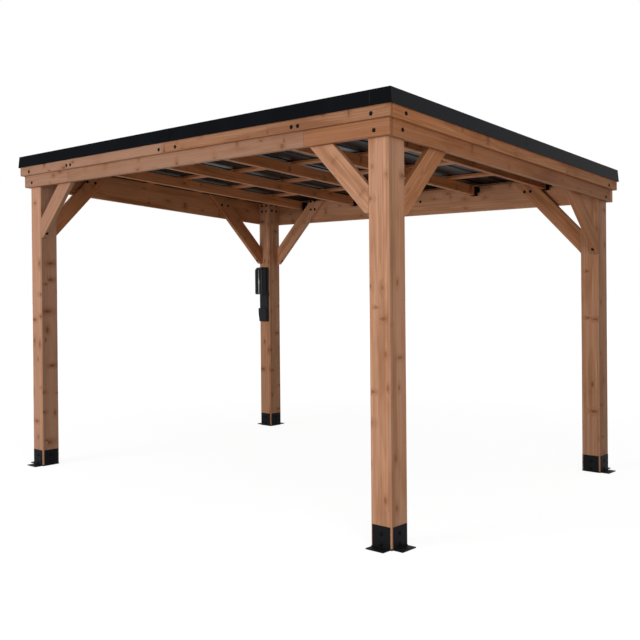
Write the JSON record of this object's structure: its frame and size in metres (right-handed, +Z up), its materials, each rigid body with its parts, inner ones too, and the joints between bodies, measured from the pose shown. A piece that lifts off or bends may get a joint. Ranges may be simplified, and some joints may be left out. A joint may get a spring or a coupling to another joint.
{
  "type": "hardtop gazebo",
  "caption": "Free-standing timber gazebo on square posts with knee braces and a sloping ribbed metal roof.",
  "frame": {"origin": "on the ground, at the middle of the plan over the roof's edge trim", "axes": "+Z up, +X along the long side, -Y towards the front, which is the high side of the roof"},
  "size_m": [3.701, 2.7906, 2.4303],
  "materials": {
    "cedar": "stained, satin",
    "black_steel": "black powder coat",
    "roof_metal": "dark grey coated ribbed sheet",
    "trim_metal": "dark coated folded sheet",
    "black_plastic": "moulded, satin"
  },
  "bodies": {
    "root": {"back_beam": "cedar", "back_fascia": "cedar", "back_hanger_1": "black_steel", "back_hanger_2": "black_steel", "back_hanger_3": "black_steel", "back_hanger_4": "black_steel", "back_hanger_5": "black_steel", "back_left_brace_along_x": "cedar", "back_left_brace_along_y": "cedar", "back_left_post": "cedar", "back_left_shoe": "black_steel", "back_right_brace_along_x": "cedar", "back_right_brace_along_y": "cedar", "back_right_post": "cedar", "back_right_shoe": "black_steel", "back_trim": "trim_metal", "back_trim_joint": "trim_metal", "front_beam": "cedar", "front_fascia": "cedar", "front_hanger_1": "black_steel", "front_hanger_2": "black_steel", "front_hanger_3": "black_steel", "front_hanger_4": "black_steel", "front_hanger_5": "black_steel", "front_left_brace_along_x": "cedar", "front_left_brace_along_y": "cedar", "front_left_post": "cedar", "front_left_shoe": "black_steel", "front_right_brace_along_x": "cedar", "front_right_brace_along_y": "cedar", "front_right_post": "cedar", "front_right_shoe": "black_steel", "front_trim": "trim_metal", "front_trim_joint": "trim_metal", "left_beam": "cedar", "left_fascia": "cedar", "left_trim": "trim_metal", "power_box_body": "black_plastic", "power_box_cover": "black_plastic", "power_box_lower_housing": "black_plastic", "purlin_1": "cedar", "purlin_2": "cedar", "purlin_3": "cedar", "purlin_4": "cedar", "rafter_1": "cedar", "rafter_2": "cedar", "rafter_3": "cedar", "rafter_4": "cedar", "rafter_5": "cedar", "right_beam": "cedar", "right_fascia": "cedar", "right_trim": "trim_metal", "roof_panel_1": "roof_metal", "roof_panel_2": "roof_metal", "roof_panel_3": "roof_metal", "roof_panel_4": "roof_metal"}
  },
  "joints": []
}
